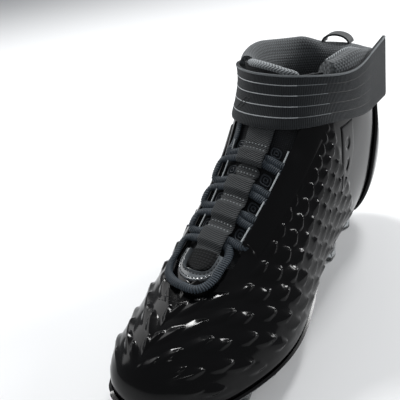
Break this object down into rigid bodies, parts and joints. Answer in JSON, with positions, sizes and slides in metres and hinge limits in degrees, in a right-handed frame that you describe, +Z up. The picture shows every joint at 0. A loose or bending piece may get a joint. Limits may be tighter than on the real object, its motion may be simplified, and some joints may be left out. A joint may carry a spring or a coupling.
{
  "type": "american football cleat",
  "caption": "High-top left football cleat with an elastic ankle strap, laced throat under a webbing ribbon, padded collar, moulded heel counter and clear bladed studs.",
  "frame": {"origin": "centre of the shoe's footprint box on the floor plane that the stud tips stand on", "axes": "+Z up, toe towards -Y and heel towards +Y, outer side of the foot towards +X, as a left shoe stands"},
  "size_m": [0.1046, 0.3102, 0.1701],
  "materials": {
    "coated_upper": "gloss synthetic coating over a textile upper, black",
    "moulded_black": "gloss moulded, black",
    "foam_sheet": "matte textile over foam, dark grey",
    "tongue_mesh": "matte knitted mesh, dark grey",
    "collar_mesh": "matte spacer mesh, grey",
    "webbing": "matte ribbed webbing, charcoal grey",
    "lace_braid": "matte braid, slate blue",
    "elastic_strap": "matte ribbed elastic, charcoal grey",
    "clear_stud": "clear gloss moulded"
  },
  "bodies": {
    "root": {"upper": "coated_upper", "outsole": "moulded_black", "heel_counter": "moulded_black", "eyestay_outer": "moulded_black", "eyestay_inner": "moulded_black", "throat_tab": "moulded_black", "insole": "foam_sheet", "tongue": "tongue_mesh", "collar_pad": "collar_mesh", "ribbon_low": "webbing", "ribbon_high": "webbing", "pull_tab": "webbing", "pull_loop": "webbing", "lace_row_1": "lace_braid", "lace_row_2": "lace_braid", "lace_row_3": "lace_braid", "lace_row_4": "lace_braid", "lace_loop": "lace_braid", "ankle_strap": "elastic_strap", "stud_toe": "clear_stud", "stud_outer_1": "clear_stud", "stud_outer_2": "clear_stud", "stud_outer_3": "clear_stud", "stud_outer_4": "clear_stud", "stud_inner_1": "clear_stud", "stud_inner_2": "clear_stud", "stud_inner_3": "clear_stud", "stud_inner_4": "clear_stud", "stud_heel_outer_1": "clear_stud", "stud_heel_outer_2": "clear_stud", "stud_heel_inner_1": "clear_stud", "stud_heel_inner_2": "clear_stud"}
  },
  "joints": []
}
